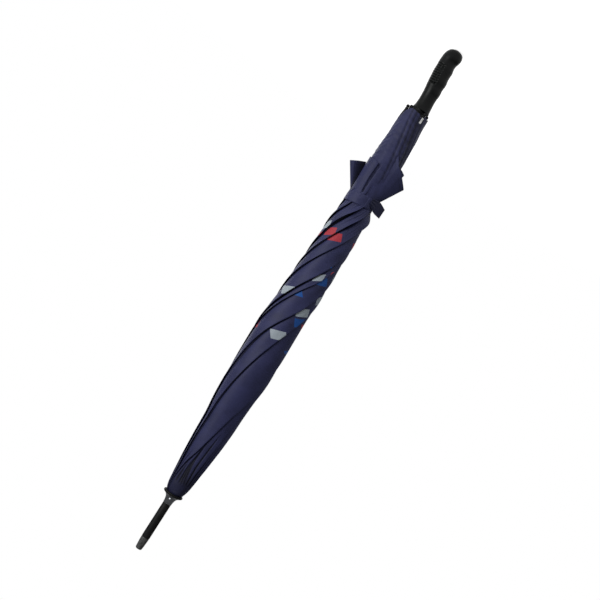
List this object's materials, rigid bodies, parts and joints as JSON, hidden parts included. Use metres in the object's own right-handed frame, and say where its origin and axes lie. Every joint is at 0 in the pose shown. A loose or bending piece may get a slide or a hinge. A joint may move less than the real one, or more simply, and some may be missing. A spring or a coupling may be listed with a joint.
{
  "type": "golf umbrella",
  "caption": "Long stick umbrella with a straight moulded grip, furled, spirally rolled and strapped; the ribs, stretchers and runner fold open.",
  "frame": {"origin": "middle of the hand grip, on the shaft's axis", "axes": "+Z along the shaft towards the tip, -X the finger side of the grip, -Y the side the picture shows"},
  "size_m": [0.1001, 0.0718, 1.0002],
  "materials": {
    "shaft_coat": "satin black coat on a steel tube",
    "black_gloss": "glossy black moulding",
    "end_cap_plastic": "grained dark grey moulding",
    "black_plastic": "matt black moulding",
    "steel_wire": "plain wire",
    "spring_steel": "bright spring steel",
    "handle_plastic": "satin black grip moulding",
    "canopy_cloth": "navy woven pongee",
    "label_cloth": "white woven label, bare",
    "rib_fibre": "black glass-fibre rod",
    "stretcher_steel": "black lacquered steel channel"
  },
  "bodies": {
    "shaft": {"shaft": "shaft_coat", "ferrule": "black_gloss", "end_cap": "end_cap_plastic", "crown_cap": "black_gloss", "crown_patch": "canopy_cloth", "top_notch": "black_plastic", "notch_ring": "steel_wire", "handle": "handle_plastic", "furled_canopy": "canopy_cloth", "hem_bundle": "canopy_cloth", "hem_petals": "canopy_cloth", "strap": "canopy_cloth", "care_label": "label_cloth"},
    "runner": {"runner": "black_plastic", "runner_ring": "steel_wire"},
    "top_catch": {"top_catch": "spring_steel"},
    "bottom_catch": {"bottom_catch": "spring_steel"},
    "strap_tail": {"strap_tail": "canopy_cloth"},
    "rib_1": {"rib_1": "rib_fibre", "rib_joint_1": "black_plastic", "rib_tip_1": "black_gloss"},
    "stretcher_1": {"stretcher_1": "stretcher_steel"},
    "gore_1": {"gore_1": "canopy_cloth"},
    "rib_2": {"rib_2": "rib_fibre", "rib_joint_2": "black_plastic", "rib_tip_2": "black_gloss"},
    "stretcher_2": {"stretcher_2": "stretcher_steel"},
    "gore_2": {"gore_2": "canopy_cloth"},
    "rib_3": {"rib_3": "rib_fibre", "rib_joint_3": "black_plastic", "rib_tip_3": "black_gloss"},
    "stretcher_3": {"stretcher_3": "stretcher_steel"},
    "gore_3": {"gore_3": "canopy_cloth"},
    "rib_4": {"rib_4": "rib_fibre", "rib_joint_4": "black_plastic", "rib_tip_4": "black_gloss"},
    "stretcher_4": {"stretcher_4": "stretcher_steel"},
    "gore_4": {"gore_4": "canopy_cloth"},
    "rib_5": {"rib_5": "rib_fibre", "rib_joint_5": "black_plastic", "rib_tip_5": "black_gloss"},
    "stretcher_5": {"stretcher_5": "stretcher_steel"},
    "gore_5": {"gore_5": "canopy_cloth"},
    "rib_6": {"rib_6": "rib_fibre", "rib_joint_6": "black_plastic", "rib_tip_6": "black_gloss"},
    "stretcher_6": {"stretcher_6": "stretcher_steel"},
    "gore_6": {"gore_6": "canopy_cloth"},
    "rib_7": {"rib_7": "rib_fibre", "rib_joint_7": "black_plastic", "rib_tip_7": "black_gloss"},
    "stretcher_7": {"stretcher_7": "stretcher_steel"},
    "gore_7": {"gore_7": "canopy_cloth"},
    "rib_8": {"rib_8": "rib_fibre", "rib_joint_8": "black_plastic", "rib_tip_8": "black_gloss"},
    "stretcher_8": {"stretcher_8": "stretcher_steel"},
    "gore_8": {"gore_8": "canopy_cloth"}
  },
  "joints": [
    {"name": "canopy_fold", "type": "hinge", "parent": "shaft", "child": "rib_1", "pos_m": [0.0102, 0, 0.823], "axis": [0, -1, 0], "range_deg": [0, 64], "deforming": ["furled_canopy", "hem_bundle", "hem_petals", "strap", "strap_tail", "care_label"]},
    {"name": "stretcher_fold_1", "type": "hinge", "parent": "rib_1", "child": "stretcher_1", "pos_m": [0.0102, 0, 0.46], "axis": [0, 1, 0], "range_deg": [0, 128]},
    {"name": "runner_travel", "type": "hinge", "parent": "stretcher_1", "child": "runner", "pos_m": [0.0102, 0, 0.097], "axis": [0, -1, 0], "range_deg": [0, 64]},
    {"name": "gore_spread_1", "type": "hinge", "parent": "rib_1", "child": "gore_1", "pos_m": [0.01007, 0, 0.83429], "axis": [0.9389, 0.2561, -0.2299], "range_deg": [0, 41.74]},
    {"name": "rib_fold_2", "type": "hinge", "parent": "shaft", "child": "rib_2", "pos_m": [0.00721, 0.00721, 0.823], "axis": [0.7071, -0.7071, 0], "range_deg": [0, 64]},
    {"name": "stretcher_fold_2", "type": "hinge", "parent": "rib_2", "child": "stretcher_2", "pos_m": [0.00721, 0.00721, 0.46], "axis": [-0.7071, 0.7071, 0], "range_deg": [0, 128]},
    {"name": "gore_spread_2", "type": "hinge", "parent": "rib_2", "child": "gore_2", "pos_m": [0.00712, 0.00712, 0.83429], "axis": [0.4829, 0.845, -0.2299], "range_deg": [0, 41.74]},
    {"name": "rib_fold_3", "type": "hinge", "parent": "shaft", "child": "rib_3", "pos_m": [0, 0.0102, 0.823], "axis": [1, 0, 0], "range_deg": [0, 64]},
    {"name": "stretcher_fold_3", "type": "hinge", "parent": "rib_3", "child": "stretcher_3", "pos_m": [0, 0.0102, 0.46], "axis": [-1, 0, 0], "range_deg": [0, 128]},
    {"name": "gore_spread_3", "type": "hinge", "parent": "rib_3", "child": "gore_3", "pos_m": [0, 0.01007, 0.83429], "axis": [-0.2561, 0.9389, -0.2299], "range_deg": [0, 41.74]},
    {"name": "rib_fold_4", "type": "hinge", "parent": "shaft", "child": "rib_4", "pos_m": [-0.00721, 0.00721, 0.823], "axis": [0.7071, 0.7071, 0], "range_deg": [0, 64]},
    {"name": "stretcher_fold_4", "type": "hinge", "parent": "rib_4", "child": "stretcher_4", "pos_m": [-0.00721, 0.00721, 0.46], "axis": [-0.7071, -0.7071, 0], "range_deg": [0, 128]},
    {"name": "gore_spread_4", "type": "hinge", "parent": "rib_4", "child": "gore_4", "pos_m": [-0.00712, 0.00712, 0.83429], "axis": [-0.845, 0.4829, -0.2299], "range_deg": [0, 41.74]},
    {"name": "rib_fold_5", "type": "hinge", "parent": "shaft", "child": "rib_5", "pos_m": [-0.0102, 0, 0.823], "axis": [0, 1, 0], "range_deg": [0, 64]},
    {"name": "stretcher_fold_5", "type": "hinge", "parent": "rib_5", "child": "stretcher_5", "pos_m": [-0.0102, 0, 0.46], "axis": [0, -1, 0], "range_deg": [0, 128]},
    {"name": "gore_spread_5", "type": "hinge", "parent": "rib_5", "child": "gore_5", "pos_m": [-0.01007, 0, 0.83429], "axis": [-0.9389, -0.2561, -0.2299], "range_deg": [0, 41.74]},
    {"name": "rib_fold_6", "type": "hinge", "parent": "shaft", "child": "rib_6", "pos_m": [-0.00721, -0.00721, 0.823], "axis": [-0.7071, 0.7071, 0], "range_deg": [0, 64]},
    {"name": "stretcher_fold_6", "type": "hinge", "parent": "rib_6", "child": "stretcher_6", "pos_m": [-0.00721, -0.00721, 0.46], "axis": [0.7071, -0.7071, 0], "range_deg": [0, 128]},
    {"name": "gore_spread_6", "type": "hinge", "parent": "rib_6", "child": "gore_6", "pos_m": [-0.00712, -0.00712, 0.83429], "axis": [-0.4829, -0.845, -0.2299], "range_deg": [0, 41.74]},
    {"name": "rib_fold_7", "type": "hinge", "parent": "shaft", "child": "rib_7", "pos_m": [0, -0.0102, 0.823], "axis": [-1, 0, 0], "range_deg": [0, 64]},
    {"name": "stretcher_fold_7", "type": "hinge", "parent": "rib_7", "child": "stretcher_7", "pos_m": [0, -0.0102, 0.46], "axis": [1, 0, 0], "range_deg": [0, 128]},
    {"name": "gore_spread_7", "type": "hinge", "parent": "rib_7", "child": "gore_7", "pos_m": [0, -0.01007, 0.83429], "axis": [0.2561, -0.9389, -0.2299], "range_deg": [0, 41.74]},
    {"name": "rib_fold_8", "type": "hinge", "parent": "shaft", "child": "rib_8", "pos_m": [0.00721, -0.00721, 0.823], "axis": [-0.7071, -0.7071, 0], "range_deg": [0, 64]},
    {"name": "stretcher_fold_8", "type": "hinge", "parent": "rib_8", "child": "stretcher_8", "pos_m": [0.00721, -0.00721, 0.46], "axis": [0.7071, 0.7071, 0], "range_deg": [0, 128]},
    {"name": "gore_spread_8", "type": "hinge", "parent": "rib_8", "child": "gore_8", "pos_m": [0.00712, -0.00712, 0.83429], "axis": [0.845, -0.4829, -0.2299], "range_deg": [0, 41.74]},
    {"name": "strap_tail_lift", "type": "hinge", "parent": "shaft", "child": "strap_tail", "pos_m": [-0.01555, -0.02221, 0.24388], "axis": [0, 0, 1], "range_deg": [0, 70]},
    {"name": "top_catch_press", "type": "slide", "parent": "shaft", "child": "top_catch", "axis": [-0.9239, -0.3827, 0], "range_m": [0, 0.0018], "stiffness_N_per_m": 2500},
    {"name": "bottom_catch_press", "type": "slide", "parent": "shaft", "child": "bottom_catch", "axis": [-0.9239, -0.3827, 0], "range_m": [0, 0.0018], "stiffness_N_per_m": 2500}
  ],
  "couplings": [
    {"joint": "stretcher_fold_1", "follows": "canopy_fold", "ratio": 2},
    {"joint": "runner_travel", "follows": "canopy_fold", "ratio": 1},
    {"joint": "gore_spread_1", "follows": "canopy_fold", "ratio": 0.65225},
    {"joint": "rib_fold_2", "follows": "canopy_fold", "ratio": 1},
    {"joint": "stretcher_fold_2", "follows": "canopy_fold", "ratio": 2},
    {"joint": "gore_spread_2", "follows": "canopy_fold", "ratio": 0.65225},
    {"joint": "rib_fold_3", "follows": "canopy_fold", "ratio": 1},
    {"joint": "stretcher_fold_3", "follows": "canopy_fold", "ratio": 2},
    {"joint": "gore_spread_3", "follows": "canopy_fold", "ratio": 0.65225},
    {"joint": "rib_fold_4", "follows": "canopy_fold", "ratio": 1},
    {"joint": "stretcher_fold_4", "follows": "canopy_fold", "ratio": 2},
    {"joint": "gore_spread_4", "follows": "canopy_fold", "ratio": 0.65225},
    {"joint": "rib_fold_5", "follows": "canopy_fold", "ratio": 1},
    {"joint": "stretcher_fold_5", "follows": "canopy_fold", "ratio": 2},
    {"joint": "gore_spread_5", "follows": "canopy_fold", "ratio": 0.65225},
    {"joint": "rib_fold_6", "follows": "canopy_fold", "ratio": 1},
    {"joint": "stretcher_fold_6", "follows": "canopy_fold", "ratio": 2},
    {"joint": "gore_spread_6", "follows": "canopy_fold", "ratio": 0.65225},
    {"joint": "rib_fold_7", "follows": "canopy_fold", "ratio": 1},
    {"joint": "stretcher_fold_7", "follows": "canopy_fold", "ratio": 2},
    {"joint": "gore_spread_7", "follows": "canopy_fold", "ratio": 0.65225},
    {"joint": "rib_fold_8", "follows": "canopy_fold", "ratio": 1},
    {"joint": "stretcher_fold_8", "follows": "canopy_fold", "ratio": 2},
    {"joint": "gore_spread_8", "follows": "canopy_fold", "ratio": 0.65225}
  ]
}
